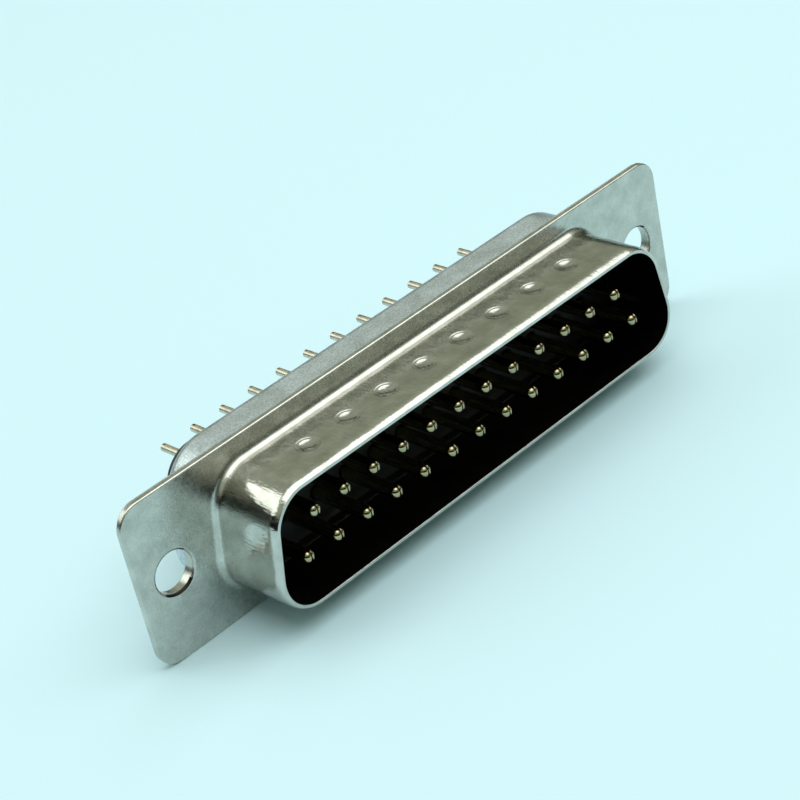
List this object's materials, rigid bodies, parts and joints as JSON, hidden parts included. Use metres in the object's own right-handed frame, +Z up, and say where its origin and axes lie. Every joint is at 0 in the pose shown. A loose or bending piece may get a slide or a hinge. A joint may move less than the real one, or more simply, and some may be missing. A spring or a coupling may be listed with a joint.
{
  "type": "d-sub connector",
  "caption": "Straight board-mount d-sub plug: two-shell metal housing with a D-shaped shroud and a flange with two fixing holes, black insulators and two rows of round contacts.",
  "frame": {"origin": "centre of the flange's front face, midway between the two fixing holes", "axes": "+X along the flange towards contact 1, -Y is the mating direction, +Z up to the shorter contact row"},
  "size_m": [0.053, 0.0167, 0.0126],
  "materials": {
    "front_shell": "bright nickel-plated drawn steel, mirror-like with soft mottling",
    "rear_shell": "satin tin-plated drawn steel",
    "insulator": "black glass-filled moulded thermoplastic",
    "contact": "polished, thinly plated brass; the tails are satin"
  },
  "bodies": {
    "root": {"front_shell": "front_shell", "rear_shell": "rear_shell", "front_insulator": "insulator", "rear_insulator": "insulator", "contact_01": "contact", "contact_02": "contact", "contact_03": "contact", "contact_04": "contact", "contact_05": "contact", "contact_06": "contact", "contact_07": "contact", "contact_08": "contact", "contact_09": "contact", "contact_10": "contact", "contact_11": "contact", "contact_12": "contact", "contact_13": "contact", "contact_14": "contact", "contact_15": "contact", "contact_16": "contact", "contact_17": "contact", "contact_18": "contact", "contact_19": "contact", "contact_20": "contact", "contact_21": "contact", "contact_22": "contact", "contact_23": "contact", "contact_24": "contact", "contact_25": "contact"}
  },
  "joints": []
}
